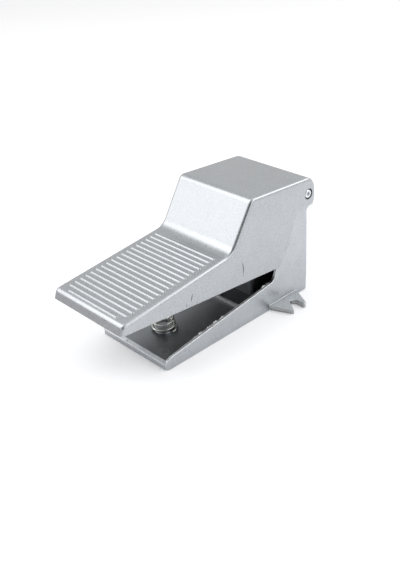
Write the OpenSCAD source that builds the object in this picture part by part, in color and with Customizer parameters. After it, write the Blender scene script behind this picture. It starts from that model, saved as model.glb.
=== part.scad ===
// Pneumatic foot valve: a cast treadle hinged at the heel of a cast base,
// which presses on a vertical spool valve held between the base's cheeks.
// Millimetres. +Z is up, +Y runs to the heel, X is across the foot.
// The origin is on the sole, midway between the two fixing slots.

/* [Base casting] */
// Length of the base from its front edge to its back face
base_l = 154; // [150:1:158]
// Half width of the base at the sole
base_hw = 35.9; // [35.2:0.1:36.1]
// Inward lean of the base walls per millimetre of height
base_draft = 0.04; // [0.036:0.002:0.05]
// Thickness of the side walls
base_wall = 2.2; // [1.8:0.1:2.8]
// Thickness of the floor
floor_t = 5.5; // [4.6:0.1:6.2]
// Thickness of the back wall
back_t = 3.5; // [3:0.1:4.2]
// Height of the side rails at the front edge
rail_front_h = 8.8; // [7.5:0.1:10]
// Rise of the rails towards the heel, degrees
rail_rise = 7.1; // [6:0.1:7.6]
// Distance of the uprights' foot ahead of the pivot
upright_arm = 36.6; // [34:0.1:38]
// Slope of the uprights' front edge, degrees
upright_slope = 70; // [68:1:74]
// Radius in the corner between rail and upright
upright_r = 7; // [5:0.5:9]
// Radius of the base's front corners in plan
front_corner_r = 3; // [2:0.5:6]
// Radius of the base's rear corners in plan
rear_corner_r = 2.5; // [1.5:0.5:4]
// Fall of the bevel along the front edge of the floor
lip_drop = 1.2; // [0.8:0.1:2]
// Width of that bevel
lip_run = 3; // [2:0.1:4]
// Rounding at the front end of the rails, seen from the side
rail_nose_r = 6; // [4:0.5:7]
// Rounding under the back of the base, seen from the side
back_foot_r = 4; // [2:0.5:5]
// Distance of the floor's cross rib from the front edge
cross_rib_y = 88; // [84:1:94]
// Width and height of the ribs on the base
rib_size = 2.4; // [1.6:0.1:3]
// Depth of the pocket cast in the underside
pocket_depth = 2.2; // [1.4:0.1:2.6]
// Width of the sole's rim round that pocket
pocket_rim = 6; // [5:0.5:9]

/* [Fixing ears] */
// Distance of the fixing slots ahead of the back face
fixing_back = 29; // [26:0.5:32]
// Half distance between the closed ends' centres
fixing_hx = 46.4; // [45.5:0.1:48]
// Width of the fixing slots
slot_w = 7; // [6.4:0.1:7.4]
// Thickness of the ears
ear_t = 4; // [3:0.1:5]
// Reach of the ears beyond the slot's centre
ear_reach = 7.2; // [6.4:0.1:9]
// Length of the ears along the wall
ear_l = 32; // [30:0.5:36]

/* [Pivot] */
// Distance of the pivot axis ahead of the base's back face
pivot_inset = 3.5; // [2.8:0.1:4.5]
// Height of the pivot axis above the sole
pivot_h = 84.3; // [83:0.1:87]
// Radius of the pivot screw's shoulder
shoulder_r = 2.5; // [2.2:0.1:2.6]
// Radius of the pivot screw's thread
pivot_thread_r = 2; // [1.5:0.1:2.1]
// Radius of the pivot screw's head
pivot_head_r = 3.4; // [3.1:0.1:3.7]
// Thickness of the pivot screw's head
pivot_head_t = 2.5; // [2:0.1:2.7]
// Radius of the recess round that head
recess_r = 4.4; // [4:0.1:4.6]
// Wall of the pivot bush
bush_wall = 1.1; // [0.8:0.1:1.3]
// Length of the pivot bush
bush_l = 2.7; // [2.4:0.1:3.2]
// Thickness of the thrust washers
thrust_t = 0.8; // [0.5:0.1:1]
// Thickness of the base's pivot lugs
lug_t = 5.5; // [4.5:0.1:6.5]
// Radius of the lugs round the pivot
lug_r = 4.4; // [4:0.1:4.6]
// Length of the lugs' foot ahead of the pivot
lug_foot = 20; // [16:1:24]
// Length of the webs beside the lugs ahead of the pivot
lug_web_l = 16; // [12:1:18]

/* [Treadle] */
// Half width of the treadle
pedal_hw = 37.2; // [37.1:0.1:38]
// Thickness of its side skirts
pedal_wall = 2; // [1.6:0.1:2.1]
// Thickness of its top, riser and foot plate
plate_t = 2.5; // [2:0.1:2.8]
// Rounding along its long edges
edge_r = 2.5; // [1.5:0.1:3]
// Height of the top face over the pivot axis
top_over = 13.2; // [12.6:0.1:15]
// Fall of the top face towards the heel, degrees
top_fall = 3.3; // [2:0.1:5]
// Distance of the crest ahead of the pivot
crest_arm = 63.2; // [60:0.2:66]
// Slope of the riser, degrees
riser_slope = 58.6; // [54:0.2:64]
// Height of the riser between foot plate and top
riser_drop = 35.1; // [32:0.1:37]
// Fall of the foot plate towards the toe, degrees
foot_fall = 6.6; // [5.6:0.1:7]
// Length of the foot plate, toe to riser, measured level
foot_l = 100.4; // [96:0.2:104]
// Height of the front face under the toe
toe_drop = 7; // [6:0.1:8]
// Forward lean of that face over its height
toe_reach = 2.6; // [1.5:0.1:3.5]
// Overhang of the heel behind the pivot
heel_back = 8.4; // [8:0.1:9.4]
// Drop of the ears' lower edge under the pivot
ear_drop = 8.6; // [8.2:0.1:9.4]
// Bevel at the ears' lower rear corner
heel_bevel = 3; // [2:0.1:3.4]
// Rounding of the toe
toe_r = 4; // [3.8:0.1:5]
// Radius of the sweep from foot plate to riser
knee_r = 13; // [9:0.5:16]
// Rounding of the crest
crest_r = 5.5; // [4:0.1:8]
// Rounding of the heel
heel_r = 11.5; // [9:0.5:12]
// Distance of the skirts' rear end ahead of the pivot
skirt_arm = 34.3; // [33:0.1:36]
// Drop of the skirts' rear end under the pivot
skirt_drop = 49.6; // [48.6:0.1:50.2]
// Distance of the bend in the skirts' rear edge ahead of the pivot
bend_arm = 24.1; // [23.4:0.1:25]
// Drop of that bend under the pivot
bend_drop = 37.6; // [36.6:0.1:38.6]
// Distance of the corner under the ears ahead of the pivot
throat_arm = 13.5; // [13:0.1:14.5]
// Radius of the bend in the skirts' rear edge
bend_r = 40; // [25:1:45]
// Radius of the corner under the ears
throat_r = 12; // [8:0.5:14]
// Radius of the nose that presses the plunger
press_r = 3.5; // [3:0.1:4]
// Half width of that nose
press_hw = 6; // [4:0.5:8]

/* [Grip ribs] */
// Number of grip ribs on the foot plate
grip_count = 19; // [12:1:20]
// Spacing of the grip ribs along the foot plate
grip_pitch = 4.74; // [4.2:0.02:4.8]
// Distance of the first rib from the toe corner
grip_first = 4.1; // [3.8:0.1:5]
// Half length of the grip ribs
grip_hl = 31.6; // [27:0.1:33]
// How much shorter the first rib is at each end
grip_short = 5; // [0:0.1:8]
// Radius of a grip rib's round top
grip_r = 1.1; // [0.9:0.05:1.4]
// Height of a grip rib
grip_h = 0.8; // [0.5:0.05:0.85]

/* [Return spring] */
// Distance of the return spring from the base's front edge
spring_y = 30; // [26:0.5:36]
// Mean radius of its lowest coil
spring_r_low = 9.6; // [8.5:0.1:11]
// Mean radius of its highest coil
spring_r_high = 5.4; // [5.2:0.1:6.5]
// Radius of its wire
spring_wire_r = 0.9; // [0.7:0.05:1]
// Number of its turns
spring_turns = 9; // [6:1:10]
// Depth of the seat boss under the foot plate at its axis
spring_boss = 4; // [3.5:0.1:6]
// Length of the spigot that holds its upper end
spigot_l = 5; // [3:0.5:7]
// Height of the spigot that holds its lower end
floor_spigot_h = 3.5; // [2:0.5:5]

/* [Valve] */
// Distance of the spool's axis ahead of the pivot
push_arm = 29; // [28:0.2:31]
// Radius of the spool bore
bore_r = 7; // [6.8:0.1:7.3]
// Half width of the valve body
body_hw = 18; // [17.5:0.1:18.4]
// Distance of the valve body's front face ahead of the spool's axis
body_front = 14; // [13:0.2:16]
// How far the port face stands out of the back wall
port_proud = 0.6; // [0.3:0.1:1.5]
// Height of the valve body's top
body_top = 63; // [62.4:0.1:64]
// How far the plunger's gland stands above the valve body
gland_rise = 7.64; // [7.2:0.02:8]
// Height of the inlet port, the middle one of five
inlet_z = 37.5; // [37:0.1:38]
// Rise from one port's level to the next
port_rise = 8; // [7.8:0.1:8.1]
// Half distance between the two columns of ports
port_hx = 8.5; // [8:0.1:9]
// Radius of the ports' thread, quarter-inch pipe
port_r = 5.9; // [5.7:0.1:6]
// Depth of the ports' thread
port_depth = 13; // [11:0.5:16]
// Radius of the passage from a port to the spool bore
passage_r = 3; // [2.4:0.1:3.4]
// Height of the galleries round the spool bore
gallery_h = 4; // [3.6:0.1:4.2]
// Depth of the galleries beyond the spool bore
gallery_depth = 2.4; // [1.8:0.1:3]
// Half distance between the fixing screws across the body
screw_hx = 22.8; // [22.4:0.1:23]
// Heights of the fixing screws
screw_low_z = 15; // [13:0.5:17]
screw_high_z = 49; // [46:0.5:51]
// Radius of the fixing screws' thread
screw_r = 2.5; // [2:0.1:2.6]
// Thickness of the tabs that take the screws
tab_t = 5; // [4:0.5:7]
// Thickness of the lock washers
lock_t = 1.2; // [0.8:0.1:1.6]

/* [Spool and plunger] */
// Travel of the treadle, degrees
travel = 10; // [8:0.5:10]
// Radius of the spool's rod
rod_r = 4.6; // [4.4:0.1:4.8]
// Radius of the spool's lands
land_r = 6.6; // [6.4:0.05:6.7]
// Radius of the cross-section of a spool seal
seal_cord_r = 0.95; // [0.8:0.05:1]
// Radius of the plunger
plunger_r = 4; // [3.6:0.1:4.2]
// Radius of the plunger's head
plunger_head_r = 6; // [5.2:0.1:7]
// Thickness of the plunger's head
plunger_head_t = 4.2; // [3.2:0.1:4.6]
// Radius of the dome on that head
plunger_dome_r = 18; // [14:1:30]
// Radius of the thread between plunger and spool
tenon_r = 3; // [2.5:0.1:3.2]
// Length of that thread
tenon_l = 8; // [6:0.5:9]
// Mean radius of the spool spring
spool_spring_r = 2.6; // [2.4:0.05:2.7]
// Radius of its wire
spool_wire_r = 0.45; // [0.35:0.05:0.5]
// Number of its turns
spool_turns = 6; // [4:1:8]

/* [Hidden] */
// Running clearance of a shaft in its bore
run_gap = 0.05;
// Gap between parts that move past each other
move_gap = 0.3;
// Play of the treadle along its pivot
end_play = 0.2;
// Clearance of a part pushed into a seat
seat_gap = 0.05;
// How far the rounded skin stands inside the side planes
trim = 0.05;
// How far the ends of one surface lie under the next where they run on
bury = 0.02;
// Slit across the bevel at the front: its place across the foot and its width
slit_x = -8.5;
slit_w = 0.6;
// Overlap that fuses features of one casting
fuse = 0.5;
// A length that runs past every face it has to cut
past = 40;
// Wall of the treadle's bosses round the pivot bushes
boss_wall = 2.4;
// Gap left between plunger head and gland when the treadle is down
dip_gap = 0.6;
// Height of one land of the spool
land_h = 3.4;
// Distance of the spool's end seals from the outer galleries
low_seal_gap = 1.5;
high_seal_gap = 1.24;
// Retaining ring: height over the floor, thickness, bite into its groove, and gap between its ends
ring_sill = 0.5;
ring_t = 1;
ring_bite = 0.9;
ring_gap = 3;
// Step from the spool bore to the end plug's bore
plug_step = 1.2;
// Seal ring in the end plug: radius of its cord and how far its middle lies under the plug's wall
plug_cord_r = 0.75;
plug_cord_in = 0.72;
// Spool spring's pocket: clearance round the wire, and rise over the second port's level
pocket_gap = 0.35;
pocket_rise = 0.5;
// Gland: depth of its thread in the body, step from the spool bore, roof over the spool, flange
gland_depth = 6;
gland_step = 2;
roof_gap = 1.2;
flange_step = 2.5;
flange_t = 2.5;
hex_step = 0.8;
// Seal ring under the gland's flange
gland_cord_r = 0.7;
gland_cord_out = 0.8;
// Wiper in the gland's mouth: depth of its seat, its height and its reach round the plunger
wiper_seat = 1.8;
wiper_h = 1.7;
wiper_reach = 2.15;
$fn = 64;

// Stations on the base, from its front edge, and levels above the sole
pivot_y = base_l - pivot_inset;
fixing_y = base_l - fixing_back;
valve_y = pivot_y - push_arm;
back_y = base_l - back_t;

// Treadle outline: corners as [station, level], heel to toe over the top
foot_z = pivot_h - ear_drop;
heel_y = pivot_y + heel_back;
crest_y = pivot_y - crest_arm;
crest_z = pivot_h + top_over + crest_arm * tan(top_fall);
knee_z = crest_z - riser_drop;
knee_y = crest_y - riser_drop / tan(riser_slope);
toe_y = knee_y - foot_l;
toe_z = knee_z - foot_l * tan(foot_fall);
heel_top = [heel_y, pivot_h + top_over - heel_back * tan(top_fall)];
heel_foot = [heel_y, pivot_h - skirt_drop - past];
crest = [crest_y, crest_z];
knee = [knee_y, knee_z];
toe = [toe_y, toe_z];
toe_foot = toe - [toe_reach, toe_drop] * 2;
pedal_path = [heel_foot, heel_top, crest, knee, toe, toe_foot];
pedal_radii = [0, heel_r, crest_r, knee_r, toe_r, 0];
skirt_end = [pivot_y - skirt_arm, pivot_h - skirt_drop];
bend = [pivot_y - bend_arm, pivot_h - bend_drop];
throat = [pivot_y - throat_arm, foot_z];
skirt_front = toe - [toe_reach, toe_drop];

// Base outline
rail_end = [pivot_y - upright_arm, rail_front_h + (pivot_y - upright_arm) * tan(rail_rise)];
wall_top = foot_z + 0.8;
upright_top = [rail_end[0] + (wall_top - rail_end[1]) / tan(upright_slope), wall_top];
heel_wall_foot = foot_z + heel_bevel - plate_t;
ledge_top = heel_wall_foot - move_gap;
ledge_h = 5;
ledge_fillet = 4.5;
ledge_back = heel_y + 2.9;
lug_low = ledge_top - 14;

// Pivot stations across the foot, from the treadle's side inwards
recess_floor = pedal_hw - pivot_head_t - end_play - move_gap;
head_in = recess_floor + end_play;
boss_in = recess_floor - bush_l;
thrust_out = boss_in - end_play;
lug_hx = thrust_out - thrust_t;
bush_r = shoulder_r + run_gap + bush_wall;
boss_r = bush_r + boss_wall;
thrust_r = heel_back - plate_t - move_gap;

// Return spring levels
spring_low = floor_t + 0.05;
plate_under_spring = toe_z + (spring_y - toe_y) * tan(foot_fall) - plate_t / cos(foot_fall);
seat_z = plate_under_spring - spring_boss;
spring_high = seat_z - move_gap;

// Valve levels: the gland, the plunger over it and the treadle's nose over that follow the body's top
stroke = push_arm * travel * PI / 180;
gland_top = body_top + gland_rise;
head_under = gland_top + stroke + dip_gap;
plunger_top = head_under + plunger_head_t;
nose_z = plunger_top + move_gap + press_r;
port_z = [for (i = [-2 : 2]) inlet_z + i * port_rise];
half_rise = port_rise / 2;
seal_z = [
    port_z[0] - gallery_h / 2 - low_seal_gap,
    port_z[0] + half_rise + stroke,
    port_z[1] + half_rise,
    port_z[2] + half_rise + stroke,
    port_z[3] + half_rise,
    port_z[4] + gallery_h / 2 + high_seal_gap + stroke,
];
spool_low = seal_z[0] - land_h / 2;
spool_high = seal_z[5] + land_h / 2;
plug_top = spool_low - stroke - move_gap;
ring_z = floor_t + ring_sill;
plug_low = ring_z + ring_t + seat_gap;
plug_r = bore_r + plug_step;
plug_mid = (plug_low + plug_top) / 2;
pocket_r = spool_spring_r + spool_wire_r + pocket_gap;
pocket_top = port_z[1] + pocket_rise;
gland_low = body_top - gland_depth;
gland_r = bore_r + gland_step;
gland_roof = spool_high + roof_gap;
flange_r = gland_r + flange_step;
wiper_z = gland_top - wiper_seat;

// Outline tools

function unit(v) = v / norm(v);
function left(v) = [-v[1], v[0]];
function cross2(a, b) = a[0] * b[1] - a[1] * b[0];
function angle_of(v) = atan2(v[1], v[0]);

// Point where the line through p along u meets the line through q along v
function meet(p, u, q, v) = p + u * cross2(q - p, v) / cross2(u, v);

// Fillet of radius r at corner b between a and c: [start, end, centre, turn], a left turn being positive
function fillet(a, b, c, r) =
    let (u = unit(a - b), v = unit(c - b), half = acos(u * v) / 2)
    [b + u * r / tan(half), b + v * r / tan(half), b + unit(u + v) * r / sin(half), sign(cross2(b - a, c - b))];

// Open path moved to its left by d
function shifted(p, d) =
    let (n = len(p), t = [for (i = [0 : n - 2]) unit(p[i + 1] - p[i])])
    [for (i = [0 : n - 1])
        let (u = t[max(i - 1, 0)], v = t[min(i, n - 2)])
        abs(cross2(u, v)) < 1e-6 ? p[i] + left(v) * d : meet(p[i] + left(u) * d, u, p[i] + left(v) * d, v)];

// Corner radii of that moved path: left turns tighten, right turns widen
function shifted_radii(p, r, d) =
    [for (i = [0 : len(p) - 1])
        r[i] == 0 ? 0 : max(0.2, r[i] - d * sign(cross2(p[i] - p[i - 1], p[i + 1] - p[i])))];

// Sector of the plane between a fillet's two tangent points, past the corner it rounds
module sector(corner, f) {
    reach = 1.2;
    polygon([f[2], f[2] + (f[0] - f[2]) * reach, f[2] + (corner - f[2]) * reach, f[2] + (f[1] - f[2]) * reach]);
}

// Closed outline, counter-clockwise, with a true arc at each corner that has a radius.
// Each arc is cut a hair deep, so that it meets its straight neighbours squarely.
module outline(p, r) {
    n = len(p);
    f = [for (i = [0 : n - 1]) fillet(p[(i + n - 1) % n], p[i], p[(i + 1) % n], r[i])];
    difference() {
        polygon([for (i = [0 : n - 1]) each (r[i] > 0 && f[i][3] < 0 ? [f[i][0], f[i][1]] : [p[i]])]);
        for (i = [0 : n - 1]) if (r[i] > 0) {
            if (f[i][3] > 0) difference() {
                sector(p[i], f[i]);
                translate(f[i][2]) circle(r = r[i] - bury);
            }
            else intersection() {
                sector(p[i], f[i]);
                translate(f[i][2]) circle(r = r[i] + bury);
            }
        }
    }
}

// Placing tools

// From stations on the base to the part's origin
module placed() {
    translate([0, -fixing_y, 0]) children();
}

// A side outline [station, level] carried across the foot, centred
module across(w) {
    rotate([90, 0, 90]) translate([0, 0, -w / 2]) linear_extrude(w) children();
}

// A side outline carried from x0 to x1
module slab(x0, x1) {
    rotate([90, 0, 90]) translate([0, 0, x0]) linear_extrude(x1 - x0) children();
}

// A front outline [x, level] carried from station y0 to y1
module along(y0, y1) {
    translate([0, y1, 0]) rotate([90, 0, 0]) linear_extrude(y1 - y0) children();
}

// A cylinder across the foot, from x0 to x1
module crosswise(y, z, r, x0, x1) {
    translate([x0, y, z]) rotate([0, 90, 0]) cylinder(r = r, h = x1 - x0);
}

// A cylinder towards the heel, from station y0 to y1
module heelwards(x, z, r, y0, y1) {
    translate([x, y0, z]) rotate([-90, 0, 0]) cylinder(r = r, h = y1 - y0);
}

// Both hands of a feature
module both_sides() {
    children();
    mirror([1, 0, 0]) children();
}

// A seal ring of round cord about a vertical axis
module cord_ring(r, cord) {
    rotate_extrude() translate([r, 0]) circle(r = cord);
}

// A wire coil from z = 0 up: the radius and the climb are functions of the way along
module coil(r_low, r_high, taper, height, climb, wire, turns, steps, sides) {
    n = turns * steps;
    rise = height - 2 * wire;
    points = [for (i = [0 : n], j = [0 : sides - 1])
        let (t = i / n, a = 360 * turns * t, b = 360 * j / sides,
             r = r_high + (r_low - r_high) * pow(1 - t, taper) + wire * cos(b))
        [r * cos(a), r * sin(a), wire + rise * pow(t, climb) + wire * sin(b)]];
    walls = [for (i = [0 : n - 1], j = [0 : sides - 1])
        let (k = (j + 1) % sides)
        [i * sides + j, i * sides + k, (i + 1) * sides + k, (i + 1) * sides + j]];
    first = [for (j = [sides - 1 : -1 : 0]) j];
    last = [for (j = [0 : sides - 1]) n * sides + j];
    polyhedron(points, concat([first], walls, [last]));
}

// Treadle

// Depth profile of the rounded skin, round at both long edges and sunk into the core:
// its face lies at d, and its sides lie as far inside those of a profile at 0
module skin_section(d) {
    hw = pedal_hw - trim - d;
    difference() {
        translate([-hw, d]) square([2 * hw, edge_r + fuse + 10 * d]);
        for (s = [0, 1]) mirror([s, 0]) translate([hw - edge_r, d + edge_r]) difference() {
            translate([0, -edge_r - fuse]) square([edge_r + fuse, edge_r + fuse]);
            circle(r = edge_r);
        }
    }
}

// Straight stretch of skin from a to b
module skin_run(a, b) {
    translate([0, b[0], b[1]]) rotate([angle_of(b - a) + 90, 0, 0]) linear_extrude(norm(b - a)) skin_section(0);
}

// Bent stretch of skin round one corner of the path, its ends buried a hair in the straight ones
module skin_bend(f, r) {
    from = f[3] > 0 ? f[0] : f[1];
    to = f[3] > 0 ? f[1] : f[0];
    lap = 0.2 / r * 180 / PI;
    start = angle_of(from - f[2]) - lap;
    sweep = (angle_of(to - f[2]) + lap - start + 360) % 360;
    translate([0, f[2][0], f[2][1]]) rotate([0, 90, 0]) rotate([0, 0, start + 90])
        rotate_extrude(angle = sweep) translate([r, 0]) rotate(f[3] * 90) skin_section(bury);
}

// Whole skin over heel, top, riser, foot plate and toe
module pedal_skin() {
    n = len(pedal_path);
    f = [for (i = [1 : n - 2]) fillet(pedal_path[i - 1], pedal_path[i], pedal_path[i + 1], pedal_radii[i])];
    ends = concat([pedal_path[0]], [for (c = f) each [c[0], c[1]]], [pedal_path[n - 1]]);
    for (i = [0 : n - 2]) skin_run(ends[2 * i], ends[2 * i + 1]);
    for (i = [0 : n - 3]) skin_bend(f[i], pedal_radii[i + 1]);
}

// Side outline of everything deeper than d under the skin, open far below
module under_skin(d) {
    p = shifted(pedal_path, d);
    r = shifted_radii(pedal_path, pedal_radii, d);
    low = [toe_foot[0], heel_foot[1]];
    outline(concat(p, [low]), concat(r, [0]));
}

// Everything above the skirts' lower edge and ahead of their rear edge
module skirt_mask() {
    slope = (skirt_end - skirt_front) / (skirt_end[0] - skirt_front[0]);
    high = crest_z + past;
    outline(
        [[heel_y + past, foot_z + heel_bevel + past], [heel_y + past, high], [toe_y - past, high],
         skirt_front - slope * past, skirt_end, bend, throat, [heel_y - heel_bevel, foot_z]],
        [0, 0, 0, 0, 0, bend_r, throat_r, 0]);
}

// Half-round grip rib with round ends, lying across the foot
module grip_rib(half) {
    rotate([0, 90, 0]) rotate_extrude() intersection() {
        union() {
            translate([0, -half + grip_r]) square([grip_r, 2 * (half - grip_r)]);
            for (s = [-1, 1]) translate([0, s * (half - grip_r)]) circle(r = grip_r);
        }
        translate([0, -half]) square([grip_r, 2 * half]);
    }
}

module grip_ribs() {
    for (i = [0 : grip_count - 1]) {
        way = grip_first + i * grip_pitch;
        sunk = grip_r - grip_h;
        translate([0, toe_y, toe_z]) rotate([foot_fall, 0, 0]) translate([0, way, -sunk])
            grip_rib(grip_hl - (i == 0 ? grip_short : 0));
    }
}

module pedal_shell() {
    difference() {
        intersection() {
            union() {
                across(2 * pedal_hw) under_skin(edge_r + trim);
                pedal_skin();
            }
            across(2 * pedal_hw + 2) skirt_mask();
        }
        across(2 * (pedal_hw - pedal_wall)) under_skin(plate_t);
    }
}

// Boss that presses the plunger: a web under the top with a round nose about level with the pivot
module press_boss() {
    roof = pivot_h + top_over + push_arm * tan(top_fall) - plate_t;
    translate([-press_hw, valve_y - press_r, nose_z]) cube([2 * press_hw, 2 * press_r, roof - nose_z]);
    crosswise(valve_y, nose_z, press_r, -press_hw, press_hw);
}

// Seat and spigot for the return spring's upper end
module spring_boss_under_foot() {
    boss_h = plate_under_spring + plate_t / 2 - seat_z;
    translate([0, spring_y, seat_z]) cylinder(r = spring_r_high + 2.4, h = boss_h);
    translate([0, spring_y, seat_z - spigot_l])
        cylinder(r1 = spring_r_high - spring_wire_r - 1.2, r2 = spring_r_high - spring_wire_r - 0.6, h = spigot_l);
}

module pedal() {
    color([0.78, 0.79, 0.81]) placed() {
        difference() {
            union() {
                pedal_shell();
                grip_ribs();
                press_boss();
                spring_boss_under_foot();
                both_sides() crosswise(pivot_y, pivot_h, boss_r, boss_in, pedal_hw - pedal_wall / 2);
            }
            both_sides() {
                crosswise(pivot_y, pivot_h, bush_r + seat_gap, boss_in - fuse, pedal_hw + fuse);
                crosswise(pivot_y, pivot_h, recess_r, recess_floor, pedal_hw + fuse);
            }
        }
    }
}

// Base

// Front outline of the base: walls lean in by the draft, moved inwards by d
module drafted(d, z0, z1) {
    low = base_hw - d - base_draft * z0;
    high = base_hw - d - base_draft * z1;
    polygon([[-low, z0], [low, z0], [high, z1], [-high, z1]]);
}

// Side outline of rail, upright and back
module base_side() {
    nose = [0, rail_front_h];
    outline([[0, 0], [base_l, 0], [base_l, wall_top], upright_top, rail_end, nose], [0, back_foot_r, 0, 4, upright_r, rail_nose_r]);
}

// Plan of the base with its rounded corners, a hair wider than its walls
module base_plan() {
    hw = base_hw + seat_gap;
    front = -seat_gap;
    back = base_l + seat_gap;
    outline(
        [[-hw, front], [hw, front], [hw, back], [-hw, back]],
        [front_corner_r, front_corner_r, rear_corner_r, rear_corner_r]);
}

// Fork-shaped fixing ear with a slot that opens outwards, flared to the front
module fixing_ear() {
    tip_x = fixing_hx + ear_reach;
    front = fixing_y - ear_l / 2 - 0.6;
    rear = fixing_y + ear_l / 2 - 0.6;
    slot_r = slot_w / 2;
    inside = base_hw - base_wall;
    linear_extrude(ear_t) difference() {
        outline(
            [[inside, front], [base_hw, front], [tip_x - 0.6, fixing_y - slot_r - 6], [tip_x, fixing_y + slot_r + 2.4],
             [base_hw, rear], [inside, rear]],
            [0, 0, 1.5, 1.5, 0, 0]);
        translate([fixing_hx, fixing_y]) circle(r = slot_r);
        polygon([
            [fixing_hx, fixing_y + slot_r], [fixing_hx - slot_r * 0.45, fixing_y - slot_r * 0.89],
            [tip_x + fuse, fixing_y - slot_r - 5.4], [tip_x + fuse, fixing_y + slot_r]]);
    }
}

// Ledge behind the back wall on which the treadle's heel stops
module heel_ledge() {
    low = ledge_top - ledge_h;
    root = low - ledge_fillet - 2;
    across(2 * (base_hw - base_draft * ledge_top)) outline(
        [[back_y, root], [base_l, root], [base_l, low], [ledge_back, low], [ledge_back, ledge_top],
         [back_y, ledge_top]],
        [0, 0, ledge_fillet, 1.2, 1.2, 0]);
}

// Lug that carries one end of the pivot, standing on wall, back and ledge
module pivot_lug() {
    front = pivot_y - lug_foot;
    slab(lug_hx - lug_t, lug_hx) union() {
        polygon([[front, lug_low], [base_l, lug_low], [pivot_y + lug_r, pivot_h],
            [pivot_y - lug_r * 0.8, pivot_h + lug_r * 0.6], [front, lug_low + 9]]);
        translate([pivot_y, pivot_h]) circle(r = lug_r);
    }
}

// Web that ties a lug out to the drafted wall beside it
module lug_web() {
    translate([lug_hx - fuse, pivot_y - lug_web_l, lug_low])
        cube([2.6, pivot_inset + lug_web_l, wall_top - lug_low - 2]);
}

// Upright rib inside the wall where the rail meets the upright
module wall_rib() {
    y = rail_end[0] - 4;
    top = rail_end[1] - 1.5;
    x = base_hw - base_wall - base_draft * top;
    translate([x - rib_size, y, floor_t - fuse]) cube([rib_size + fuse, rib_size, top - floor_t + fuse]);
}

module base_walls() {
    intersection() {
        across(2 * base_hw + 2) base_side();
        along(-fuse, base_l + fuse) drafted(0, -fuse, wall_top + fuse);
        linear_extrude(wall_top + fuse) base_plan();
    }
}

module base_frame() {
    inner_hw = base_hw - base_wall;
    window_hw = body_hw + move_gap;
    color([0.76, 0.77, 0.80]) placed() difference() {
        union() {
            difference() {
                base_walls();
                along(-fuse, back_y) drafted(base_wall, floor_t, wall_top + fuse);
            }
            both_sides() {
                fixing_ear();
                pivot_lug();
                lug_web();
                wall_rib();
            }
            heel_ledge();
            translate([-inner_hw, cross_rib_y - rib_size / 2, floor_t - fuse])
                cube([2 * inner_hw, rib_size, rib_size * 0.8 + fuse]);
            translate([0, spring_y, floor_t - fuse])
                cylinder(r = spring_r_low - spring_wire_r - 1.4, h = floor_spigot_h + fuse);
        }
        // Bevel on the front edge of the floor
        translate([-inner_hw, 0, floor_t - lip_drop]) rotate([atan2(lip_drop, lip_run), 0, 0])
            translate([0, -fuse, 0]) cube([2 * inner_hw, past, past / 4]);
        // Short slit across that bevel
        translate([slit_x - slit_w / 2, -fuse, floor_t - lip_drop - slit_w])
            cube([slit_w, lip_run + fuse, past / 4]);
        // Window for the port face
        translate([-window_hw, back_y - fuse, floor_t])
            cube([2 * window_hw, back_t + port_proud + move_gap + fuse, body_top + move_gap - floor_t]);
        // Holes for the valve screws
        for (x = [-screw_hx, screw_hx], z = [screw_low_z, screw_high_z])
            heelwards(x, z, screw_r + 0.25, back_y - fuse, base_l + fuse);
        // Threaded holes for the pivot screws
        both_sides() crosswise(pivot_y, pivot_h, pivot_thread_r + seat_gap, lug_hx - lug_t - fuse, lug_hx + fuse);
        // Pocket in the underside
        translate([0, 0, -fuse]) linear_extrude(pocket_depth + fuse) outline(
            [[-base_hw + pocket_rim, pocket_rim], [base_hw - pocket_rim, pocket_rim],
             [base_hw - pocket_rim, cross_rib_y], [-base_hw + pocket_rim, cross_rib_y]],
            [4, 4, 4, 4]);
    }
}

// Pivot

module pivot_screw() {
    crosswise(pivot_y, pivot_h, pivot_thread_r, lug_hx - lug_t, lug_hx + fuse);
    crosswise(pivot_y, pivot_h, shoulder_r, lug_hx, head_in + fuse);
    difference() {
        crosswise(pivot_y, pivot_h, pivot_head_r, head_in, head_in + pivot_head_t);
        translate([head_in + 0.9, pivot_y, pivot_h]) rotate([0, 90, 0])
            cylinder(r = pivot_head_r * 0.45, h = pivot_head_t, $fn = 6);
    }
}

module pivot_bush() {
    difference() {
        crosswise(pivot_y, pivot_h, bush_r, boss_in, recess_floor);
        crosswise(pivot_y, pivot_h, shoulder_r + run_gap, boss_in - fuse, recess_floor + fuse);
    }
}

module thrust_washer() {
    difference() {
        crosswise(pivot_y, pivot_h, thrust_r, lug_hx, thrust_out);
        crosswise(pivot_y, pivot_h, shoulder_r + run_gap, lug_hx - fuse, thrust_out + fuse);
    }
}

module pivot_screw_right() { color([0.62, 0.63, 0.65]) placed() pivot_screw(); }
module pivot_screw_left() { color([0.62, 0.63, 0.65]) placed() mirror([1, 0, 0]) pivot_screw(); }
module pivot_bush_right() { color([0.72, 0.55, 0.30]) placed() pivot_bush(); }
module pivot_bush_left() { color([0.72, 0.55, 0.30]) placed() mirror([1, 0, 0]) pivot_bush(); }
module thrust_washer_right() { color([0.88, 0.88, 0.86]) placed() thrust_washer(); }
module thrust_washer_left() { color([0.88, 0.88, 0.86]) placed() mirror([1, 0, 0]) thrust_washer(); }

// Conical return spring, wide and close at the floor
module return_spring() {
    color([0.60, 0.60, 0.58]) placed() translate([0, spring_y, spring_low])
        coil(spring_r_low, spring_r_high, 3, spring_high - spring_low, 1.25, spring_wire_r, spring_turns, 24, 8);
}

// Valve

// Threaded port, its passage and the gallery round the spool bore at one level
module port(x, z) {
    heelwards(x, z, port_r, base_l + port_proud - port_depth, base_l + port_proud + fuse);
    heelwards(x, z, passage_r, valve_y, base_l + port_proud - port_depth + fuse);
    translate([0, valve_y, z - gallery_h / 2]) cylinder(r = bore_r + gallery_depth, h = gallery_h);
}

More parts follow.
